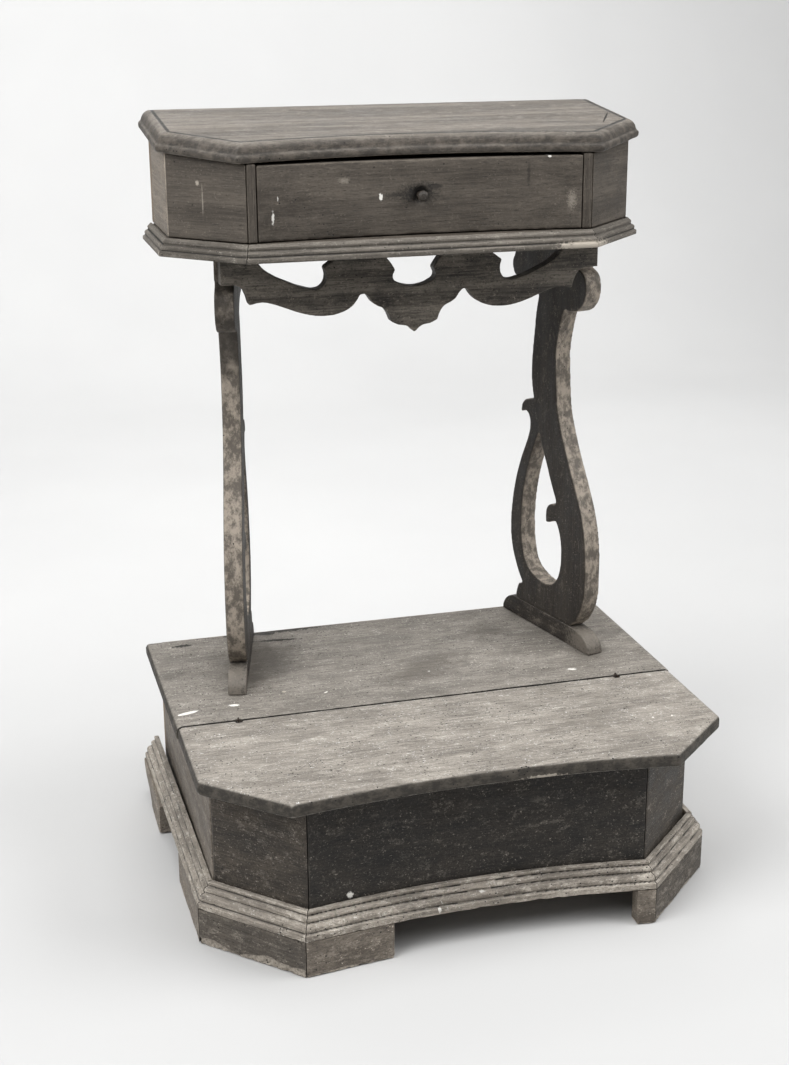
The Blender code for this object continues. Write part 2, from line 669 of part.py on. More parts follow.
def build_desk_floor():
    low, high = DESK_FLOOR_Z
    floor = add_object("desk_bottom_board", stacked(DESK_EDGE_PLAN, 0.0, [(0.0, low), (0.0, high)]), WALNUT)
    out = DESK_MOULDING_OUT
    steps = [(0.0012, 0.0), (0.0, 0.0012), (0.0, 0.0050), (0.0010, 0.0058), (0.0030, 0.0060), (0.0030, 0.0073),
             (0.0022, 0.0081), (0.0026, 0.0104), (0.0045, 0.0120), (0.0068, 0.0123), (0.0068, 0.0138),
             (0.0060, 0.0146), (0.0064, 0.0168), (0.0085, 0.0182), (0.0095, high - low)]
    profile = [(GAP, low)] + [(out - inward, low + up) for inward, up in steps] + [(GAP, high)]
    names = ("desk_moulding_side_left", "desk_moulding_cant_left", "desk_moulding_front",
             "desk_moulding_cant_right", "desk_moulding_side_right")
    for edge, name in enumerate(names):
        add_object(name, loft(edge_stations(DESK_EDGE_PLAN, edge), profile), WALNUT)
    for side, name in ((-1, "drawer_guide_left"), (1, "drawer_guide_right")):
        low_x, high_x = sorted((side * (DRAWER_BOX_HALF + 0.0012), side * (DRAWER_HALF + 0.001)))
        add_object(name, box_mesh((low_x, 0.020, DESK_WALL_Z), (high_x, 0.186, DESK_WALL_Z + 0.020)), PINE)
    return floor


def build_desk_top():
    low = -TOP_BOARD
    levels = [(0.0090, low), (0.0112, low + 0.0010), (0.0120, low + 0.0032), (0.0119, low + 0.0070),
              (0.0104, low + 0.0088), (0.0084, low + 0.0093), (0.0083, low + 0.0108), (0.0076, low + 0.0145),
              (0.0048, low + 0.0182), (0.0012, low + 0.0204), (0.0, 0.0)]
    tilt = Matrix.Translation(TOP_FRONT) @ Matrix.Rotation(TOP_SLOPE, 4, "X")
    bm = stacked(TOP_PLAN, TOP_HOLLOW, levels)
    bm.transform(tilt)
    board = add_object("desk_top_board", bm, GREY_WALNUT)
    path = edge_stations(TOP_PLAN, 0, gap=(False, False))[:1]
    path[0] = (path[0][0] + Vector((0.0, 0.003)), path[0][1])
    for edge in range(5):
        hollow = TOP_HOLLOW if edge == FRONT_EDGE else 0.0
        path += edge_stations(TOP_PLAN, edge, hollow, gap=(False, False))[1:]
    path[-1] = (path[-1][0] + Vector((0.0, 0.003)), path[-1][1])
    groove = loft(path, [(-0.0028, 0.002), (-0.0034, -0.0012), (-0.0046, -0.0012), (-0.0052, 0.002)])
    groove.transform(tilt)
    combine(board, add_cutter("desk_top_groove", groove))


# Drawer


def drawer_stations(half, steps=12):
    chord = 2 * DESK_FRONT_HALF
    part = (0.5 - half / chord, 0.5 + half / chord)
    return edge_stations(DESK_PLAN, FRONT_EDGE, DESK_HOLLOW, part, gap=(False, False), steps=steps)


def build_drawer():
    floor_low = DESK_FLOOR_Z[1] + 2 * GAP
    floor_high = floor_low + 0.006
    face_y = DESK_FRONT_Y + DESK_HOLLOW
    origin = (0.0, face_y, KNOB_Z)
    build_drawer_front(face_y, floor_low + GAP, origin)
    outline = [point + Vector((0, DRAWER_FRONT_BOARD + GAP)) for point, _ in drawer_stations(DRAWER_BOX_HALF)]
    outline += [Vector((DRAWER_BOX_HALF, DRAWER_BACK_Y)), Vector((-DRAWER_BOX_HALF, DRAWER_BACK_Y))]
    bottom = upright_prism([(*point, floor_high) for point in outline], floor_low)
    add_object("drawer_bottom", bottom, PINE, origin=origin)
    wall_low, wall_high = floor_high + GAP, DRAWER_TOP_Z - 0.010
    inner = DRAWER_BOX_HALF - DRAWER_BOARD
    front_in = DESK_FRONT_Y + hollow_at(inner, DESK_FRONT_HALF, DESK_HOLLOW) + DRAWER_FRONT_BOARD + GAP
    for side, name in ((-1, "drawer_side_left"), (1, "drawer_side_right")):
        low_x, high_x = sorted((side * DRAWER_BOX_HALF, side * inner))
        wall = box_mesh((low_x, front_in, wall_low), (high_x, DRAWER_BACK_Y, wall_high))
        add_object(name, wall, PINE, origin=origin)
    back_half = inner - GAP
    back_front_y = DRAWER_BACK_Y - DRAWER_BOARD
    back = box_mesh((-back_half, back_front_y, wall_low), (back_half, DRAWER_BACK_Y, wall_high))
    add_object("drawer_back", back, PINE, origin=origin)
    build_knob(face_y)


def build_drawer_front(face_y, low, origin):
    profile = board_profile(DRAWER_FRONT_BOARD, low, DRAWER_TOP_Z)
    board = loft(drawer_stations(DRAWER_HALF), profile)
    front = add_object("drawer_front", board, DARK_WALNUT, origin=origin)
    before = (0.0, face_y - 0.02, KNOB_Z)
    recess = rod_mesh(before, (0.0, face_y + KNOB_RECESS, KNOB_Z), 0.0090, 20)
    bore = rod_mesh(before, (0.0, face_y + KNOB_SHANK + 2 * GAP, KNOB_Z), KNOB_SHANK_RADIUS + GAP)
    combine(front, add_cutter("knob_recess", recess))
    combine(front, add_cutter("knob_bore", bore))


def build_knob(face_y):
    """A small turned knob on a shank, its axis along Y."""
    profile = [(0.0, -0.0125), (0.0030, -0.0122), (0.0055, -0.0105), (0.0062, -0.0080), (0.0056, -0.0052),
               (0.0038, -0.0025), (0.0036, 0.0), (KNOB_SHANK_RADIUS, 0.0020),
               (KNOB_SHANK_RADIUS, KNOB_SHANK), (0.0, KNOB_SHANK)]
    bm = bmesh.new()
    verts = [bm.verts.new((radius, 0.0, -height)) for radius, height in profile]
    edges = [bm.edges.new(pair) for pair in zip(verts, verts[1:])]
    bmesh.ops.spin(bm, geom=verts + edges, cent=(0, 0, 0), axis=(0, 0, 1), angle=2 * math.pi, steps=20,
                   use_merge=True)
    bmesh.ops.remove_doubles(bm, verts=bm.verts, dist=0.00001)
    bm.transform(Matrix.Translation((0, face_y, KNOB_Z)) @ Matrix.Rotation(math.pi / 2, 4, "X"))
    add_object("drawer_knob", bm, DARK_WALNUT, origin=(0.0, face_y, KNOB_Z))


def main():
    clear_scene()
    build_base_boards()
    build_base_inside()
    build_plinth()
    build_feet()
    rear_board = build_kneeling_boards()
    build_hinges()
    build_battens()
    desk_floor = build_desk_floor()
    build_supports(rear_board, desk_floor)
    build_apron()
    build_desk_walls()
    build_desk_top()
    build_drawer()


main()
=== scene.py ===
"""Looks for the kneeling desk: worn, worm-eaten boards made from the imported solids, with procedural wood."""

import json
import math

import bmesh
import bpy
import numpy as np
from mathutils import Matrix, Vector


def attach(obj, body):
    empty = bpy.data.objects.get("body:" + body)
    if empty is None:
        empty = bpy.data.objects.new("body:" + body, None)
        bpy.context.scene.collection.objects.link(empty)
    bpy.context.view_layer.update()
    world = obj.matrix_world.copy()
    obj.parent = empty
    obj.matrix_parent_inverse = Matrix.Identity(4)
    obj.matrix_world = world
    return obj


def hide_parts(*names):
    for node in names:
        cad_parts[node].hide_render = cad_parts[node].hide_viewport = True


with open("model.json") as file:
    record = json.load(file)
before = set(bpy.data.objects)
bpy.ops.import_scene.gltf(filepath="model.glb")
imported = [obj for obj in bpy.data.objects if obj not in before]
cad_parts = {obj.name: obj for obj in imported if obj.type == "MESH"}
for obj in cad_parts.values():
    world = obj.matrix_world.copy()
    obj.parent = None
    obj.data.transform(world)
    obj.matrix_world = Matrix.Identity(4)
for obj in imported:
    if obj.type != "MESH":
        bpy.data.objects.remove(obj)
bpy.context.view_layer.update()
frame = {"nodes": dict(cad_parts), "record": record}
NODES = frame["nodes"]
BODY_OF = {node: body for body, nodes in frame["record"]["behaviour"]["bodies"].items() for node in nodes}
CANT_BASE = math.atan2(0.090, 0.089)  # direction of the base's canted faces in plan
CANT_DESK = math.atan2(0.0784, 0.0756)
TOE_IN = math.radians(13.43)  # how far each support turns its front edge inwards
TOP_SLOPE = math.radians(6.08)
TOP_FRONT = (0.0012, 0.860)  # y and z of the desk top's front edge
GROOVE_DEPTH = 0.0012
MM = 0.001


# Noise and mesh helpers


def lattice(points, seed):
    """Smooth value noise from -1 to 1 at each row of points, one cell per unit."""
    cell = np.floor(points).astype(np.int64)
    part = points - cell
    part = part * part * (3 - 2 * part)
    total = np.zeros(len(points))
    for corner in np.ndindex(2, 2, 2):
        at = cell + corner
        mixed = (at[:, 0] * 73856093) ^ (at[:, 1] * 19349663) ^ (at[:, 2] * 83492791) ^ (seed * 2654435761)
        mixed = (mixed ^ (mixed >> 13)) * 1274126177 & 0x7FFFFFFF
        mixed = (mixed ^ (mixed >> 16)) & 0xFFFF
        weight = np.prod(np.where(corner, part, 1 - part), axis=1)
        total += weight * (mixed / 32767.5 - 1)
    return total


def layered(points, size, seed, octaves=3, stretch=(1, 1, 1)):
    """Noise summed over octaves; size is the largest feature in metres, longer along a stretched axis."""
    scaled = points / (size * np.array(stretch))
    total, reach = np.zeros(len(points)), 0.0
    for k in range(octaves):
        total += lattice(scaled * 2**k + 17.3 * k, seed + k) * 0.5**k
        reach += 0.5**k
    return total / reach


def step_up(value, low, high):
    t = np.clip((value - low) / (high - low), 0, 1)
    return t * t * (3 - 2 * t)


def relaxed(points, ends, rounds):
    """Each point moved half way to its neighbours' mean, that many times."""
    count = len(points)
    degree = np.bincount(ends.ravel(), minlength=count)[:, None]
    for _ in range(rounds):
        mean = np.stack(
            [np.bincount(ends[:, 0], points[ends[:, 1], a], count)
             + np.bincount(ends[:, 1], points[ends[:, 0], a], count) for a in range(3)], axis=1) / degree
        points = (points + mean) / 2
    return points


def read_points(mesh):
    points = np.empty(len(mesh.vertices) * 3)
    mesh.vertices.foreach_get("co", points)
    return points.reshape(-1, 3)


def read_normals(mesh):
    normals = np.empty(len(mesh.vertices) * 3)
    mesh.vertex_normals.foreach_get("vector", normals)
    return normals.reshape(-1, 3)


def read_ends(mesh):
    ends = np.empty(len(mesh.edges) * 2, np.int64)
    mesh.edges.foreach_get("vertices", ends)
    return ends.reshape(-1, 2)


def write_points(mesh, points):
    mesh.vertices.foreach_set("co", points.astype(np.float32).ravel())
    mesh.update()


def store(mesh, name, values):
    attribute = mesh.attributes.new(name, "FLOAT", "POINT")
    attribute.data.foreach_set("value", values.astype(np.float32))


def remeshed(node, voxel, yaw):
    """A fine even mesh of a CAD node, its grid turned by yaw so that it follows the board."""
    bm = bmesh.new()
    bm.from_mesh(NODES[node].data)
    bmesh.ops.remove_doubles(bm, verts=bm.verts, dist=1e-6)
    bm.transform(Matrix.Rotation(-yaw, 4, "Z"))
    mesh = bpy.data.meshes.new(f"{node}_worn")
    bm.to_mesh(mesh)
    bm.free()
    helper = bpy.data.objects.new("helper", mesh)
    bpy.context.scene.collection.objects.link(helper)
    modifier = helper.modifiers.new("remesh", "REMESH")
    modifier.mode = "VOXEL"
    modifier.voxel_size = voxel
    modifier.adaptivity = 0.0
    graph = bpy.context.evaluated_depsgraph_get()
    fine = bpy.data.meshes.new_from_object(helper.evaluated_get(graph))
    bpy.data.objects.remove(helper, do_unlink=True)
    bpy.data.meshes.remove(mesh)
    return fine


# Wear on the boards


def near_groove(node, points, slope, front, depth):
    """1 on the line of the groove sunk in a sloping board's top, 0 away from it."""
    mesh = NODES[node].data
    corners = read_points(mesh)
    plane = front[1] + (corners[:, 1] - front[0]) * math.tan(slope)
    low = np.abs((plane - corners[:, 2]) * math.cos(slope) - depth) < 0.0003
    nearest = np.full(len(points), 1.0)
    for a, b in read_ends(mesh):
        if low[a] and low[b]:
            start, run = corners[a], corners[b] - corners[a]
            part = np.clip((points - start) @ run / (run @ run), 0, 1)
            nearest = np.minimum(nearest, np.linalg.norm(points - start - part[:, None] * run, axis=1))
    return 1 - step_up(nearest, 0.0013, 0.0023)


def worn(node, voxel=2.0, yaw=0.0, along=0, face=2, wear=0.5, chips=0.4, relief=0.10, warp=0.25,
         blunt=6, seed=1, pits=0.0, crumbled=0.0, foot=0.0, groove=None, material=None):
    """A worn copy of a CAD board that stands for it.

    Sizes are in mm. along is the grain's axis and face the axis through the board's thickness, in the
    turned frame (0 X, 1 Y, 2 Z). Wear only takes wood away, but remeshing and one round of smoothing can fill
    an inner corner by part of a voxel. blunt is how many rounds soften the arrises, crumbled how far up the
    wood has gone soft and broken away, foot how unevenly its underside has worn, and groove the slope, front
    edge and depth of a groove sunk in its top.
    """
    mesh = remeshed(node, voxel * MM, yaw)
    ends = read_ends(mesh)
    points = relaxed(read_points(mesh), ends, 1)
    write_points(mesh, points)
    normals = read_normals(mesh)
    soft = relaxed(points, ends, blunt)
    edge = np.einsum("ij,ij->i", points - soft, normals) / (0.22 * voxel * MM * math.sqrt(blunt))
    arris = np.clip(edge, 0, 1)
    rough = layered(points, 0.020, seed, 5)
    amount = arris * np.clip(wear * (0.55 + 0.6 * rough) + chips * step_up(rough, 0.15, 0.4), 0, 1)
    stretch = [1, 1, 1]
    stretch[along] = 14
    grain = layered(points, 0.006, seed + 11, 3, stretch)
    slow = layered(points, 0.11, seed + 23, 2)
    depth = warp * (0.5 + 0.5 * slow) + relief * (0.5 + 0.5 * grain)
    if pits:
        eaten = layered(points, 0.0055, seed + 31, 3)
        depth = depth + pits * step_up(eaten, 0.30, 0.60)
    floor = points[:, 2].min()
    height = points[:, 2] - floor
    broken = np.zeros(len(points))
    if crumbled:
        edge_of_break = crumbled * MM * (0.62 + 0.75 * layered(points, 0.030, seed + 37, 4))
        broken = step_up(edge_of_break - height, -0.0002, 0.0008)
        lumps = layered(points, 0.0050, seed + 43, 3)
        depth = depth + broken * (0.9 + 1.3 * step_up(lumps, -0.2, 0.5))
    points = points + (soft - points) * amount[:, None] - normals * (depth * MM)[:, None]
    if foot:
        flat = points * (1, 1, 0)
        rise = floor + foot * MM * np.clip(0.1 + layered(flat, 0.011, seed + 53, 4) * 1.7, 0, 1)
        points[:, 2] = np.maximum(points[:, 2], rise)
    store(mesh, "wear", np.clip(arris * (0.65 + 0.5 * rough), 0, 1))
    # Concave places, which the finish draws darker: partly dirt, partly painted shade.
    hollow = np.clip(-1.6 * edge, 0, 1)
    if groove:
        hollow = np.maximum(hollow, near_groove(node, points, *groove))
    store(mesh, "hollow", hollow)
    store(mesh, "broken", broken)
    store(mesh, "rim", 1 - np.abs(normals[:, face]))
    turn = np.array(Matrix.Rotation(yaw, 3, "Z"))
    write_points(mesh, points @ turn.T)
    mesh.polygons.foreach_set("use_smooth", np.ones(len(mesh.polygons), bool))
    mesh.materials.clear()
    mesh.materials.append(material)
    piece = bpy.data.objects.new(f"{node}_worn", mesh)
    bpy.context.scene.collection.objects.link(piece)
    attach(piece, BODY_OF[node])
    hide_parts(node)
    return piece


# Materials


class Shader:
    """Short ways to add nodes to one material."""

    def __init__(self, name):
        self.material = bpy.data.materials.new(name)
        self.material.use_nodes = True
        self.tree = self.material.node_tree
        self.surface = self.tree.nodes["Principled BSDF"]

    def add(self, kind, inputs=(), output=0, **settings):
        made = self.tree.nodes.new(kind)
        for key, value in settings.items():
            setattr(made, key, value)
        for key, value in dict(inputs).items():
            self.put(made, key, value)
        return made.outputs[output]

    def put(self, made, key, value):
        if isinstance(value, bpy.types.NodeSocket):
            self.tree.links.new(value, made.inputs[key])
        else:
            made.inputs[key].default_value = value

    def math(self, operation, a, b=0.5, clamp=False):
        return self.add("ShaderNodeMath", {0: a, 1: b}, operation=operation, use_clamp=clamp)

    def ramp(self, value, low, high, to_low=0.0, to_high=1.0):
        return self.add("ShaderNodeMapRange", {0: value, 1: low, 2: high, 3: to_low, 4: to_high},
                        interpolation_type="SMOOTHSTEP")

    def mix(self, factor, a, b):
        made = self.tree.nodes.new("ShaderNodeMix")
        made.data_type = "RGBA"
        for key, value in ((0, factor), (6, a), (7, b)):
            if not isinstance(value, (bpy.types.NodeSocket, float, int)):
                value = (*value, 1.0)
            self.put(made, key, value)
        return made.outputs[2]

    def noise(self, place, detail=4.0, roughness=0.55, distortion=0.0):
        return self.add("ShaderNodeTexNoise", {"Vector": place, "Scale": 1.0, "Detail": detail,
                                               "Roughness": roughness, "Distortion": distortion})

    def place(self, turn=(0, 0, 0), scale=(1, 1, 1), shift=(0, 0, 0)):
        """Coordinates on the piece in metres, turned and then stretched."""
        here = self.add("ShaderNodeTexCoord", output=3)
        turned = self.add("ShaderNodeVectorRotate", {0: here, 4: turn}, rotation_type="EULER_XYZ")
        moved = self.add("ShaderNodeVectorMath", {0: turned, 1: shift}, operation="ADD")
        return self.add("ShaderNodeVectorMath", {0: moved, 1: scale}, operation="MULTIPLY")

    def attribute(self, name):
        return self.add("ShaderNodeAttribute", output=2, attribute_name=name)

    def spot(self, mark):
        """1 inside a ragged blob round a point of the piece, 0 outside it."""
        here = self.add("ShaderNodeTexCoord", output=3)
        away = self.add("ShaderNodeVectorMath", {0: here, 1: mark["at"]}, operation="SUBTRACT")
        turned = self.add("ShaderNodeVectorRotate", {0: away, 4: (0, 0, mark["turn"])},
                          rotation_type="EULER_XYZ")
        pressed = self.add("ShaderNodeVectorMath", {0: turned, 1: mark["squash"]}, operation="MULTIPLY")
        distance = self.add("ShaderNodeVectorMath", {0: pressed}, output=1, operation="LENGTH")
        grain = mark["grain"]
        wobble = self.math("SUBTRACT", self.noise(self.place(scale=(grain, grain, grain)), 5.0, 0.65), 0.5)
        size = mark["size"]
        ragged = self.math("ADD", distance, self.math("MULTIPLY", wobble, mark["ragged"] * 2 * size))
        inside = self.ramp(ragged, size * (1 - mark["soft"]), size, 1.0, 0.0)
        return self.math("MULTIPLY", inside, mark["strength"])


INK = (0.006, 0.005, 0.004)
PLASTER = (0.80, 0.78, 0.73)
BARE_CHIP = (0.42, 0.375, 0.315)
RAIL_END = (0.20, 0.176, 0.147)


def mark(at, size, colour=INK, squash=(1, 1, 1), turn=0.0, ragged=0.5, soft=0.35, strength=0.9, grain=500.0):
    """A spot, chip, flake or painted shade: at and size in metres, squash below 1 lengthens it along that
    turned axis.
    """
    return dict(at=at, size=size, colour=colour, squash=squash, turn=turn, ragged=ragged, soft=soft,
                strength=strength, grain=grain)


def joint_line(corner, turn, width=0.0007, strength=0.9):
    """The dark line of a mitre: an upright plane through a corner, turned about Z."""
    return mark((*corner, 0.0), width, squash=(1, 0, 0), turn=turn, ragged=0.35, soft=0.6, strength=strength,
                grain=160.0)


def grain_turn(yaw, along):
    """Rotation that brings the grain's direction to X."""
    if along == 2:
        return (0.0, math.pi / 2, 0.0)
    if along == 1:
        return (0.0, 0.0, -math.pi / 2 - yaw)
    return (0.0, 0.0, -yaw)


def times(colour, factor):
    return tuple(min(1.0, c * factor) for c in colour)


def aged_wood(name, dark, light, bare, yaw=0.0, along=0, shift=0.0, streaks=0.5, mottle=0.5, patches=0.3,
              flecks=0.4, pitted=0.4, holes=0.5, dust=0.0, edge=0.6, rim=0.0, rim_tone=(0.02, 0.017, 0.013),
              roughness=(0.5, 0.8), dirt=0.6, relief=0.6, scratches=0.3, marks=()):
    """Old walnut: grain streaks, pores, worn patches, grit, pits, worm holes, scratches and pale arrises."""
    s = Shader(name)
    turn = grain_turn(yaw, along)
    offset = (shift, shift * 0.7, shift * 1.3)
    broad = s.noise(s.place(turn, (3.0, 62, 62), offset), 6.0, 0.62, 0.25)
    fine = s.noise(s.place(turn, (14, 520, 520), offset), 3.0, 0.6)
    pores = s.noise(s.place(turn, (60, 1600, 1600), offset), 2.0, 0.5)
    blotch = s.noise(s.place(turn, (16, 34, 34), offset), 9.0, 0.72)
    crisp = s.noise(s.place(turn, (60, 95, 95), offset), 8.0, 0.78)
    grit = s.noise(s.place(turn, (380, 460, 460), offset), 4.0, 0.7)
    tone = s.math("ADD", s.ramp(broad, 0.38, 0.62, 0, streaks), s.ramp(blotch, 0.36, 0.64, 0, mottle))
    tone = s.math("ADD", tone, s.ramp(fine, 0.35, 0.65, -0.18, 0.18), clamp=True)
    colour = s.mix(tone, dark, light)
    reach = 0.60 - patches * 0.18
    spread = s.math("MULTIPLY", s.ramp(crisp, reach, reach + 0.08), s.ramp(blotch, 0.35, 0.6, 0.25, 1.0))
    colour = s.mix(s.math("MULTIPLY", spread, 0.35 + 0.4 * patches), colour, bare)
    colour = s.mix(s.ramp(pores, 0.57, 0.66, 0, 0.6), colour, times(dark, 0.4))
    colour = s.mix(s.ramp(grit, 0.46, 0.33, 0, 0.75 * flecks), colour, times(dark, 0.5))
    speck = s.math("MULTIPLY", s.ramp(grit, 0.60, 0.68), s.ramp(crisp, 0.40, 0.60, 0.2, 1.0))
    colour = s.mix(s.math("MULTIPLY", speck, flecks), colour, times(bare, 1.8))
    pale = s.noise(s.place((0.25, 0.1, 1.25 + yaw), (12, 1000, 1000), offset), 1.0, 0.4, 0.2)
    colour = s.mix(s.ramp(pale, 0.71, 0.75, 0, scratches), colour, times(bare, 1.4))
    deep = s.noise(s.place((0.1, 0.2, yaw - 0.35), (16, 900, 900), offset), 1.0, 0.4, 0.3)
    colour = s.mix(s.ramp(deep, 0.71, 0.75, 0, scratches), colour, times(dark, 0.35))
    # Narrow faces take rim_tone: painted shade where that tone is dark (kneeling boards, desk top); paler bare
    # wood on the supports.
    rim_mask = s.ramp(s.attribute("rim"), 0.12, 0.50, 0, rim)
    rim_grain = s.mix(s.ramp(crisp, 0.42, 0.60), times(rim_tone, 0.55), times(rim_tone, 1.7))
    colour = s.mix(rim_mask, colour, rim_grain)
    worn_edge = s.math("MULTIPLY", s.ramp(s.attribute("wear"), 0.20, 0.70),
                       s.ramp(crisp, 0.38, 0.56, 0.3, 1.0))
    colour = s.mix(s.math("MULTIPLY", worn_edge, edge), colour, times(bare, 1.5))
    broken = s.math("MULTIPLY", s.attribute("broken"), s.ramp(grit, 0.38, 0.58, 0.45, 1.0))
    colour = s.mix(broken, colour, times(bare, 1.3))
    # Hollows and the groove line are drawn towards INK: partly dirt, partly painted shade in the creases.
    colour = s.mix(s.math("MULTIPLY", s.ramp(s.attribute("hollow"), 0.15, 0.7), dirt), colour, INK)
    up = s.add("ShaderNodeSeparateXYZ", {0: s.add("ShaderNodeNewGeometry", output=1)}, output=2)
    settled = s.math("MULTIPLY", s.ramp(up, 0.35, 0.95), s.ramp(crisp, 0.35, 0.65, 0.35, 1.0))
    colour = s.mix(s.math("MULTIPLY", settled, dust), colour, (0.42, 0.40, 0.37))
    pit = bored(s, turn, offset, (190, 230, 230), 0.21, pitted, 30)
    hole = bored(s, turn, offset, (100, 150, 150), 0.12, holes, 16)
    sunk = s.math("MAXIMUM", pit, hole)
    colour = s.mix(sunk, colour, INK)
    for one in marks:
        colour = s.mix(s.spot(one), colour, one["colour"])
    s.put(s.surface, "Base Color", colour)
    s.put(s.surface, "Roughness", s.ramp(blotch, 0.3, 0.7, *roughness))
    s.surface.inputs["Specular IOR Level"].default_value = 0.35
    height = s.math("ADD", s.math("MULTIPLY", fine, 0.5), s.math("MULTIPLY", grit, 0.5))
    height = s.math("ADD", height, s.math("MULTIPLY", crisp, 0.9))
    height = s.math("SUBTRACT", height, s.math("MULTIPLY", sunk, 1.6))
    height = s.math("SUBTRACT", height, s.math("MULTIPLY", s.ramp(pores, 0.57, 0.66), 0.4))
    bump = s.add("ShaderNodeBump", {"Strength": relief, "Distance": 0.0008, "Height": height})
    s.put(s.surface, "Normal", bump)
    return s.material


def bored(s, turn, offset, density, radius, amount, spread):
    """Small round holes in clusters: density in cells per metre, radius in cells."""
    cells = s.tree.nodes.new("ShaderNodeTexVoronoi")
    s.put(cells, "Vector", s.place(turn, density, offset))
    s.put(cells, "Scale", 1.0)
    chosen = s.add("ShaderNodeSeparateXYZ", {0: cells.outputs["Color"]}, output=0)
    cluster = s.ramp(s.noise(s.place(scale=(spread, spread, spread), shift=offset), 2.0), 0.40, 0.66)
    level = s.math("MULTIPLY", chosen, s.math("ADD", cluster, 0.25))
    picked = s.ramp(level, 0.98 - 0.55 * amount, 1.0 - 0.55 * amount)
    return s.math("MULTIPLY", s.ramp(cells.outputs["Distance"], radius * 0.7, radius, 1.0, 0.0), picked)


def rusty_iron():
    s = Shader("rusty_iron")
    patches = s.noise(s.place(scale=(300, 300, 300)), 5.0)
    black, rust = (0.012, 0.010, 0.009), (0.045, 0.027, 0.016)
    s.put(s.surface, "Base Color", s.mix(s.ramp(patches, 0.4, 0.6), black, rust))
    s.put(s.surface, "Roughness", s.ramp(patches, 0.35, 0.65, 0.5, 0.9))
    s.surface.inputs["Metallic"].default_value = 0.3
    bump = s.add("ShaderNodeBump", {"Strength": 0.5, "Distance": 0.0003, "Height": patches})
    s.put(s.surface, "Normal", bump)
    return s.material


# Woods by place. dark, light and bare are linear colours of the finish and of the wood under it.
VARNISH = dict(dark=(0.030, 0.024, 0.018), light=(0.075, 0.062, 0.049), bare=(0.150, 0.128, 0.104))
DRAWER = dict(dark=(0.044, 0.036, 0.028), light=(0.106, 0.090, 0.073), bare=(0.150, 0.128, 0.104))
# The base front board: darker tones than the canted boards', with the lid's shadow painted in.
FRONT_WITH_LID_SHADOW = dict(dark=(0.008, 0.007, 0.006), light=(0.036, 0.031, 0.026), bare=(0.155, 0.138, 0.118))
MOULDED = dict(dark=(0.110, 0.095, 0.078), light=(0.270, 0.240, 0.203), bare=(0.47, 0.430, 0.374))
SIDES = dict(dark=(0.075, 0.062, 0.049), light=(0.165, 0.141, 0.115), bare=(0.31, 0.272, 0.228))
WORN_FEET = dict(dark=(0.048, 0.040, 0.032), light=(0.115, 0.099, 0.081), bare=(0.27, 0.240, 0.203))
KNEELING = dict(dark=(0.165, 0.147, 0.125), light=(0.40, 0.366, 0.320), bare=(0.60, 0.563, 0.505))
DESK_TOP = dict(dark=(0.080, 0.067, 0.054), light=(0.225, 0.197, 0.165), bare=(0.36, 0.325, 0.280))
SUPPORT = dict(dark=(0.015, 0.012, 0.010), light=(0.042, 0.035, 0.028), bare=(0.16, 0.137, 0.112))
PINE = dict(dark=(0.13, 0.098, 0.067), light=(0.25, 0.195, 0.140), bare=(0.30, 0.245, 0.185))


def toned(tones, factor):
    return {name: times(colour, factor) for name, colour in tones.items()}


def wood(tones, name, **settings):
    return aged_wood(name, **tones, **settings)


# Corners in plan where the mouldings and boards are mitred, and the turn of each mitre's plane.
BASE_FRONT_CORNER = (0.195, -0.224)
BASE_SIDE_CORNER = (0.284, -0.134)
DESK_FRONT_CORNER = (0.1957, -0.0052)
BASE_MITRE = CANT_BASE / 2
BASE_SIDE_MITRE = CANT_BASE / 2 + math.pi / 4
DESK_MITRE = CANT_DESK / 2


def both_mitres(corner, turn):
    x, y = corner
    return [joint_line((-x, y), turn), joint_line((x, y), -turn)]


def dress_base():
    flake = [mark((-0.147, -0.217, 0.0787), 0.0042, PLASTER, ragged=0.6, strength=0.85)]
    corners = both_mitres(BASE_FRONT_CORNER, BASE_MITRE) + both_mitres(BASE_SIDE_CORNER, BASE_SIDE_MITRE)
    cants = VARNISH | dict(dark=(0.020, 0.016, 0.012), bare=(0.24, 0.212, 0.180))
    # The front board's tones carry a painted shadow of the lid.
    boards = (("base_front_board", FRONT_WITH_LID_SHADOW, 0.0, 3, 1.7), ("base_cant_board_left", cants, -CANT_BASE, 5, 1.8),
              ("base_cant_board_right", cants, CANT_BASE, 7, 1.8))
    for node, tones, yaw, seed, voxel in boards:
        finish = wood(tones, node, yaw=yaw, shift=seed, streaks=0.2, mottle=0.8, patches=0.32, flecks=1.0,
                      pitted=0.2, holes=0.35, scratches=0.35, edge=0.35, marks=corners + flake)
        worn(node, voxel, yaw, face=1, wear=0.3, chips=0.2, seed=seed, material=finish)
    for node, seed in (("base_side_board_left", 9), ("base_side_board_right", 10)):
        finish = wood(SIDES, node, along=1, shift=seed, patches=0.45, flecks=0.6, holes=0.5, marks=corners)
        worn(node, 2.0, along=1, face=0, wear=0.4, seed=seed, material=finish)
    rough = wood(PINE, "base_back_wood", patches=0.4, holes=0.4, dust=0.2, relief=0.9, streaks=0.6)
    worn("base_back_board", 2.5, face=1, seed=12, relief=0.3, material=rough)


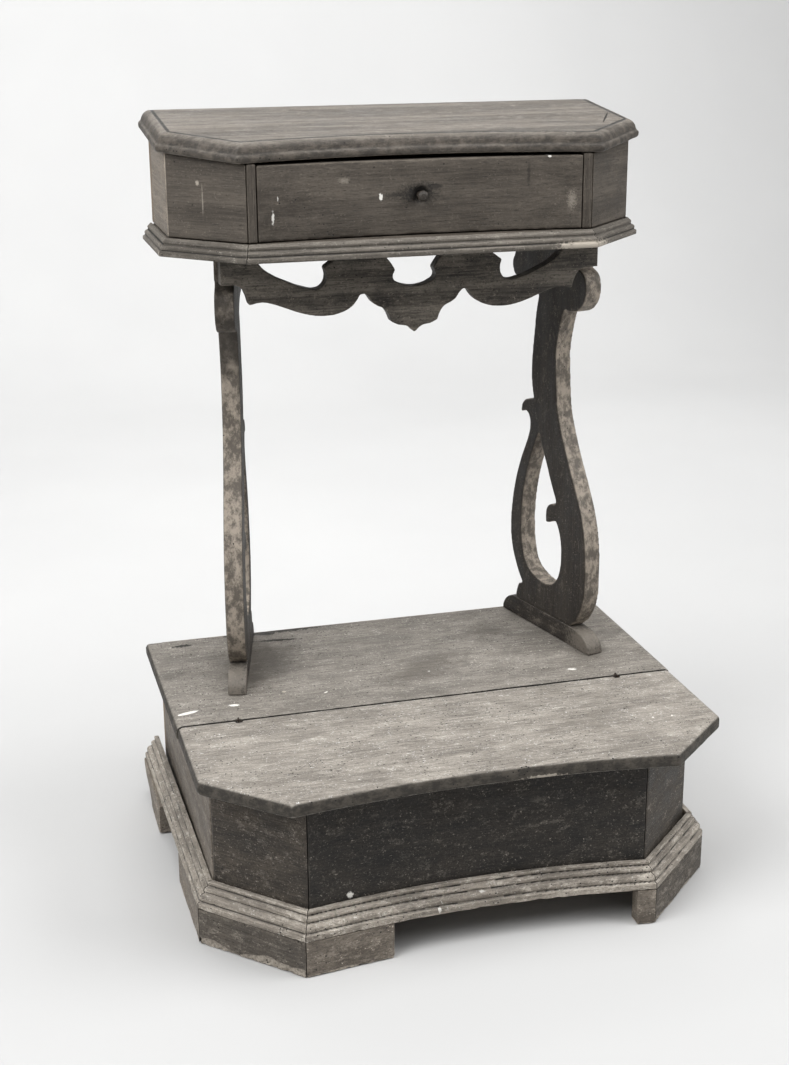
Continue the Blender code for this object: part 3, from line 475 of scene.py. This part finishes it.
def dress_plinth():
    chips = [mark((-0.0485, -0.2276, 0.0512), 0.0026, PLASTER, (1.2, 1, 0.45), turn=0.3, ragged=1.3,
                  grain=650.0),
             mark((0.0025, -0.2198, 0.061), 0.0024, PLASTER, (0.6, 1, 1), ragged=1.2, strength=0.7),
             mark((0.048, -0.224, 0.047), 0.0026, PLASTER, (0.4, 1, 1), ragged=1.3),
             mark((0.118, -0.226, 0.046), 0.0024, PLASTER, (0.3, 1, 1), ragged=1.3),
             mark((-0.098, -0.235, 0.047), 0.0036, PLASTER, ragged=1.2)]
    corners = both_mitres(BASE_FRONT_CORNER, BASE_MITRE) + both_mitres(BASE_SIDE_CORNER, BASE_SIDE_MITRE)
    runs = (("front", 0.0, 0), ("cant_left", -CANT_BASE, 0), ("cant_right", CANT_BASE, 0),
            ("side_left", 0.0, 1), ("side_right", 0.0, 1))
    for k, (place, yaw, along) in enumerate(runs):
        finish = wood(toned(MOULDED, 1.4), f"plinth_{place}", yaw=yaw, along=along, shift=k + 20.0,
                      patches=0.5, flecks=0.7, pitted=0.75, holes=0.8, dust=0.15, edge=0.8, dirt=0.95,
                      relief=0.9, marks=corners + chips)
        eaten = 0.9 if along else 0.45
        worn(f"plinth_{place}", 0.75, yaw, along, face=1, wear=0.12, chips=0.35, pits=eaten, relief=0.2,
             warp=0.1, blunt=4, foot=1.6, seed=20 + k, material=finish)
    feet = (("foot_front_left", 0.0, 0, 6.0), ("foot_front_right_stub", 0.0, 0, 5.0),
            ("foot_cant_left", -CANT_BASE, 0, 14.0), ("foot_cant_right", CANT_BASE, 0, 6.0),
            ("foot_side_front_left", 0.0, 1, 6.0), ("foot_side_front_right", 0.0, 1, 4.0),
            ("foot_side_rear_left", 0.0, 1, 6.0), ("foot_side_rear_right", 0.0, 1, 5.0))
    for k, (node, yaw, along, crumbled) in enumerate(feet):
        tones = WORN_FEET if "cant" in node else toned(SIDES, 1.3)
        finish = wood(tones, node, yaw=yaw, along=along, shift=k + 30.0, patches=0.5, flecks=0.9, pitted=0.6,
                      holes=0.8, edge=0.7, relief=1.0, marks=corners)
        worn(node, 0.95, yaw, along, face=1, wear=0.3, chips=0.5, pits=0.5, relief=0.2, warp=0.1, blunt=5,
             crumbled=crumbled, foot=2.4, seed=30 + k, material=finish)


def dress_kneeling_boards():
    seam = mark((0.0, -0.037, 0.218), 0.0021, squash=(0, 1, 0.4), ragged=0.45, soft=0.45, strength=1.0,
                grain=140.0)
    # Dark patches round the supports' feet and under the desk: partly stains, partly painted shadow.
    stain_and_shadow = (0.09, 0.078, 0.064)
    spots = [seam,
             mark((-0.2848, -0.0018, 0.218), 0.0085, PLASTER, (0.62, 2.3, 1), -0.3, 0.35, 0.15, 0.95, 160.0),
             mark((-0.2295, 0.0056, 0.218), 0.0048, PLASTER, (0.7, 1.4, 1), 0.2, 0.6, 0.2, 0.95),
             mark((0.1883, -0.0042, 0.218), 0.0042, PLASTER, (0.7, 1.6, 1), 0.3, 0.8, 0.2, 0.95),
             mark((-0.1176, 0.0122, 0.218), 0.0024, PLASTER, (0.7, 1.6, 1), -0.6, 0.6),
             mark((0.0182, 0.0389, 0.218), 0.0020, PLASTER), mark((0.226, -0.162, 0.218), 0.0016, PLASTER),
             mark((0.249, -0.163, 0.218), 0.0016, PLASTER), mark((-0.165, 0.028, 0.218), 0.0030, BARE_CHIP),
             mark((-0.177, 0.136, 0.218), 0.075, stain_and_shadow, (1, 0.8, 1), 0.4, 0.7, 0.9, 0.75, 60.0),
             mark((-0.200, 0.085, 0.218), 0.045, stain_and_shadow, (1, 0.7, 1), 0.2, 0.7, 0.9, 0.75, 60.0),
             mark((0.010, 0.050, 0.218), 0.070, stain_and_shadow, (0.8, 1.5, 1), -0.5, 0.9, 0.9, 0.60, 50.0),
             mark((0.130, 0.150, 0.218), 0.050, stain_and_shadow, (1, 1.4, 1), -0.6, 0.9, 0.9, 0.55, 60.0),
             mark((-0.140, 0.223, 0.218), 0.0090, INK, (0.10, 1, 1), 0.0, 1.3, 0.6, 0.85, 260.0),
             mark((0.225, 0.050, 0.218), 0.040, stain_and_shadow, (1, 1, 1), 0.5, 0.5, 0.9, 0.4, 60.0),
             mark((-0.2606, 0.205, 0.218), 0.0075, INK, (0.5, 1.6, 1), 0.0, 0.9, 0.4, 0.9, 300.0),
             mark((-0.139, 0.191, 0.218), 0.0110, INK, (0.35, 3.0, 1), 0.1, 0.9, 0.3, 0.85, 260.0),
             mark((-0.150, 0.215, 0.218), 0.0075, INK, (0.6, 1.5, 1), 0.1, 0.9, 0.5, 0.8, 300.0),
             mark((-0.170, -0.160, 0.218), 0.0150, INK, (0.35, 16.0, 1), 0.45, 1.4, 0.5, 0.40, 70.0),
             mark((-0.170, -0.160, 0.218), 0.0120, INK, (0.30, 16.0, 1), -0.75, 1.4, 0.5, 0.35, 70.0),
             mark((0.075, -0.240, 0.2035), 0.0040, BARE_CHIP, (0.10, 1, 1.6), 0.0, 1.2, 0.4, 0.85, 200.0)]
    boards = (("kneeling_lid", 40, 1.7, toned(KNEELING, 1.1)),
              ("base_top_board", 44, 2.0, toned(KNEELING, 0.83)))
    for node, seed, voxel, tones in boards:
        # The near-black rim_tone paints shade on the boards' narrow faces.
        finish = wood(tones, node, shift=seed, streaks=0.14, mottle=0.50, patches=0.22, flecks=0.80,
                      pitted=1.0,
                      holes=0.45, edge=0.30, rim=0.95, rim_tone=(0.034, 0.029, 0.023), dirt=0.7, dust=0.1,
                      roughness=(0.6, 0.85), relief=0.7, scratches=0.3, marks=spots)
        worn(node, voxel, wear=0.45, chips=0.45, relief=0.14, warp=0.3, blunt=5, seed=seed, material=finish)


def dress_supports():
    # Painted shade over the upper part of the left support.
    shade = mark((-0.21, 0.10, 0.66), 0.12, (0.030, 0.025, 0.020), ragged=0.6, soft=0.8, strength=0.85,
                 grain=60.0)
    for side, label in ((1, "right"), (-1, "left")):
        yaw = side * (TOE_IN - math.pi / 2) if side > 0 else math.pi / 2 - TOE_IN
        finish = wood(SUPPORT, f"support_{label}", along=2, shift=50 + side, patches=0.25, flecks=0.8,
                      pitted=0.3,
                      holes=0.4, edge=0.45, rim=0.9, rim_tone=(0.200, 0.172, 0.141), marks=[shade])
        worn(f"support_{label}", 1.4, yaw, along=2, face=1, wear=0.35, chips=0.3, seed=50 + side,
             material=finish)
        front_end = mark((side * 0.224, 0.046, 0.232), 0.040, RAIL_END, (1, 1, 0.6), 0.0, 1.0, 0.8, 0.62,
                         300.0)
        finish = wood(SUPPORT, f"foot_rail_{label}", yaw=yaw, shift=54 + side, patches=0.5, flecks=0.8,
                      dust=0.1, edge=0.5, marks=[front_end])
        worn(f"foot_rail_{label}", 1.1, yaw, along=0, face=1, wear=0.35, seed=54 + side, material=finish)
    tones = SUPPORT | dict(dark=(0.024, 0.020, 0.016), light=(0.165, 0.145, 0.120))
    finish = wood(tones, "apron", shift=58, patches=0.35, flecks=0.9, holes=0.5, edge=0.5)
    worn("apron", 1.2, face=1, wear=0.35, chips=0.3, seed=58, material=finish)


def dress_desk():
    split = [mark((0.246, 0.086, 0.870), 0.040, INK, (0.9, 28.0, 0), -1.107, 0.2, 0.5, 0.95, 90.0)]
    # The dark rim_tone paints shade on the top's narrow faces.
    finish = wood(toned(DESK_TOP, 0.78), "desk_top", shift=60, streaks=0.75, mottle=0.35, patches=0.30,
                  flecks=0.35, pitted=0.3, holes=0.35, edge=0.45, rim=0.85, rim_tone=(0.048, 0.040, 0.032),
                  dust=0.1, dirt=1.0,
                  roughness=(0.45, 0.7), relief=0.6, scratches=0.45, marks=split)
    worn("desk_top_board", 1.7, wear=0.15, chips=0.35, relief=0.10, warp=0.15, blunt=4, seed=60,
         groove=(TOP_SLOPE, TOP_FRONT, GROOVE_DEPTH), material=finish)
    corners = both_mitres(DESK_FRONT_CORNER, DESK_MITRE)
    details = [mark((-0.003, -0.001, 0.799), 0.0185, INK, (0.62, 0, 1.15), 0.0, 0.8, 0.8, 0.95, 300.0),
               mark((-0.030, 0.008, 0.798), 0.0085, INK, (0.45, 0, 2.0), 0.0, 1.2, 0.8, 0.6, 420.0),
               mark((0.016, 0.008, 0.806), 0.0070, INK, (0.6, 0, 1.6), 0.0, 1.0, 0.6, 0.6, 400.0),
               mark((-0.0455, 0.0089, 0.7972), 0.0030, PLASTER, (1.3, 0, 0.7), 0.0, 1.0, 0.2, 0.95, 520.0),
               mark((-0.168, 0.0, 0.7805), 0.0040, PLASTER, (2.2, 0, 0.50), 0.0, 1.1, 0.5, 0.75, 420.0),
               mark((-0.162, 0.0, 0.8003), 0.0019, PLASTER, (2.2, 0, 0.6), 0.0, 0.9, 0.5, 0.6),
               mark((-0.0872, 0.0068, 0.8158), 0.0060, BARE_CHIP, (0.7, 0, 1.2), 0.0, 1.2, 0.9, 0.35, 500.0),
               mark((0.1727, 0.0, 0.7866), 0.0090, BARE_CHIP, (1.2, 0, 0.6), 0.0, 1.3, 0.9, 0.40, 700.0),
               mark((0.1465, 0.0013, 0.8353), 0.0018, PLASTER, (0.8, 0, 1.0), strength=0.7),
               mark((-0.2412, 0.042, 0.8154), 0.0032, BARE_CHIP, (1, 1, 1), 0.0, 0.6, 0.5, 0.8),
               mark((-0.2368, 0.0374, 0.797), 0.0190, BARE_CHIP, (22.0, 0, 0.9), 0.0, 0.9, 0.8, 0.40, 200.0),
               mark((0.1232, 0.0039, 0.8174), 0.0130, INK, (5.0, 0, 0.8), 0.0, 0.9, 0.6, 0.5, 420.0)]
    pale = toned(SIDES, 1.5)
    fronts = (("desk_cant_board_left", DRAWER, -CANT_DESK, 0, 1),
              ("desk_cant_board_right", DRAWER, CANT_DESK, 0, 1),
              ("desk_side_board_left", pale, 0.0, 1, 0), ("desk_side_board_right", pale, 0.0, 1, 0),
              ("desk_stile_left", DRAWER, 0.0, 2, 1), ("desk_stile_right", DRAWER, 0.0, 2, 1),
              ("drawer_front", DRAWER, 0.0, 0, 1))
    for k, (node, tones, yaw, along, face) in enumerate(fronts):
        finish = wood(tones, node, yaw=yaw, along=along, shift=64.0 + k, streaks=0.45, mottle=0.45,
                      patches=0.12,
                      flecks=0.45, pitted=0.15, holes=0.2, edge=0.5, scratches=0.4, marks=details)
        worn(node, 1.6, yaw, along, face=face, wear=0.25, chips=0.2, seed=64 + k, material=finish)
    broken_end = [mark((0.185, -0.017, 0.7375), 0.022, BARE_CHIP, (0.55, 0, 3.2), 0.0, 0.9, 0.5, 0.85, 260.0)]
    runs = (("front", 0.0, 0), ("cant_left", -CANT_DESK, 0), ("cant_right", CANT_DESK, 0),
            ("side_left", 0.0, 1), ("side_right", 0.0, 1))
    for k, (place, yaw, along) in enumerate(runs):
        finish = wood(toned(MOULDED, 0.60), f"desk_moulding_{place}", yaw=yaw, along=along, shift=75.0 + k,
                      patches=0.3, flecks=0.6, pitted=0.35, holes=0.3, edge=0.85, dirt=0.95,
                      marks=corners + broken_end)
        worn(f"desk_moulding_{place}", 0.7, yaw, along, face=1, wear=0.12, chips=0.3, pits=0.2, warp=0.1,
             blunt=4, seed=75 + k, material=finish)
    finish = wood(VARNISH, "desk_bottom", shift=81, holes=0.5, patches=0.4)
    worn("desk_bottom_board", 2.2, seed=81, material=finish)
    finish = wood(PINE, "desk_back_wood", shift=82, patches=0.3, holes=0.5, dust=0.1, relief=0.9)
    worn("desk_back_board", 2.2, face=1, seed=82, material=finish)
    knob = wood(SUPPORT, "drawer_knob", along=1, shift=83, patches=0.3, edge=0.8, holes=0.0,
                roughness=(0.3, 0.5))
    worn("drawer_knob", 0.4, along=1, wear=0.3, chips=0.2, relief=0.04, warp=0.05, seed=83, material=knob)


def dress_hidden():
    pine = wood(PINE, "inner_wood", patches=0.3, holes=0.3, relief=0.7)
    pine_across = wood(PINE, "inner_wood_across", along=1, patches=0.3, holes=0.3, relief=0.7)
    for node in ("base_bottom_board", "base_cross_rail", "drawer_back", "drawer_bottom",
                 "base_corner_block_left", "base_corner_block_right"):
        paint(node, pine)
    for node in ("lid_batten_left", "lid_batten_right", "drawer_guide_left", "drawer_guide_right",
                 "drawer_side_left", "drawer_side_right"):
        paint(node, pine_across)
    iron = rusty_iron()
    for node in NODES:
        if node.startswith("hinge_eye"):
            paint(node, iron)


def paint(node, material):
    mesh_slots = NODES[node].data.materials
    mesh_slots.clear()
    mesh_slots.append(material)


# Stage


def pale_sweep():
    """Floor and backdrop in one curved sheet behind the object."""
    profile = [(-3.2, 0.0)] + [(2.2 + 1.3 * math.sin(a), 1.3 - 1.3 * math.cos(a))
                               for a in np.linspace(0, math.pi / 2, 24)] + [(3.5, 5.0)]
    bm = bmesh.new()
    rows = [[bm.verts.new((x, y, z)) for y, z in profile] for x in (-5.0, 5.0)]
    for k in range(len(profile) - 1):
        bm.faces.new((rows[0][k], rows[1][k], rows[1][k + 1], rows[0][k + 1])).smooth = True
    mesh = bpy.data.meshes.new("sweep")
    bm.to_mesh(mesh)
    bm.free()
    s = Shader("sweep")
    cloudy = s.noise(s.place(scale=(1.2, 1.2, 1.2)), 3.0)
    grey, paler = (0.51, 0.51, 0.508), (0.535, 0.535, 0.532)
    s.put(s.surface, "Base Color", s.mix(s.ramp(cloudy, 0.3, 0.7), grey, paler))
    s.surface.inputs["Roughness"].default_value = 0.9
    mesh.materials.append(s.material)
    sweep = bpy.data.objects.new("sweep", mesh)
    bpy.context.scene.collection.objects.link(sweep)


def soft_light(name, place, target, size, power):
    data = bpy.data.lights.new(name, "AREA")
    data.shape = "DISK"
    data.size = size
    data.energy = power
    lamp = bpy.data.objects.new(name, data)
    lamp.location = place
    lamp.rotation_euler = (Vector(target) - Vector(place)).to_track_quat("-Z", "Y").to_euler()
    bpy.context.scene.collection.objects.link(lamp)


def camera():
    yaw, pitch, roll = 0.2675, -0.3180, -0.0065
    forward = Vector((math.sin(yaw) * math.cos(pitch), math.cos(yaw) * math.cos(pitch), math.sin(pitch)))
    level = Vector((math.cos(yaw), -math.sin(yaw), 0.0))
    rise = level.cross(forward)
    right = level * math.cos(roll) + rise * math.sin(roll)
    up = rise * math.cos(roll) - level * math.sin(roll)
    data = bpy.data.cameras.new("camera")
    data.lens = 56.30
    data.sensor_width = 36.0
    data.sensor_fit = "AUTO"
    eye = bpy.data.objects.new("camera", data)
    eye.matrix_world = Matrix((right, up, -forward)).transposed().to_4x4()
    eye.location = (-0.5195, -1.7672, 1.0170)
    bpy.context.scene.collection.objects.link(eye)
    bpy.context.scene.camera = eye


ROOM_LIGHT = 0.26  # strength of the light that the room gives
ROOM_SEEN = 0.86  # how bright the room is drawn where no backdrop stands


def light_stage():
    world = bpy.data.worlds.new("room")
    world.use_nodes = True
    background = world.node_tree.nodes["Background"]
    background.inputs["Color"].default_value = (1.0, 1.0, 1.0, 1.0)
    seen = world.node_tree.nodes.new("ShaderNodeLightPath")
    strength = world.node_tree.nodes.new("ShaderNodeMapRange")
    strength.inputs[3].default_value = ROOM_LIGHT
    strength.inputs[4].default_value = ROOM_SEEN
    world.node_tree.links.new(seen.outputs["Is Camera Ray"], strength.inputs[0])
    world.node_tree.links.new(strength.outputs[0], background.inputs["Strength"])
    bpy.context.scene.world = world
    soft_light("key", (-2.3, -1.1, 2.7), (0.0, 0.0, 0.4), 2.4, 107)
    soft_light("fill", (2.5, -1.1, 2.5), (0.0, 0.0, 0.4), 2.6, 88)
    soft_light("overhead", (0.0, -0.5, 3.4), (0.0, 0.0, 0.4), 2.6, 52)
    soft_light("backdrop_light", (0.0, 1.2, 3.2), (0.0, 3.7, 1.7), 2.0, 95)
    bpy.context.scene.view_settings.view_transform = "Standard"


dress_base()
dress_plinth()
dress_kneeling_boards()
dress_supports()
dress_desk()
dress_hidden()
pale_sweep()
light_stage()
camera()
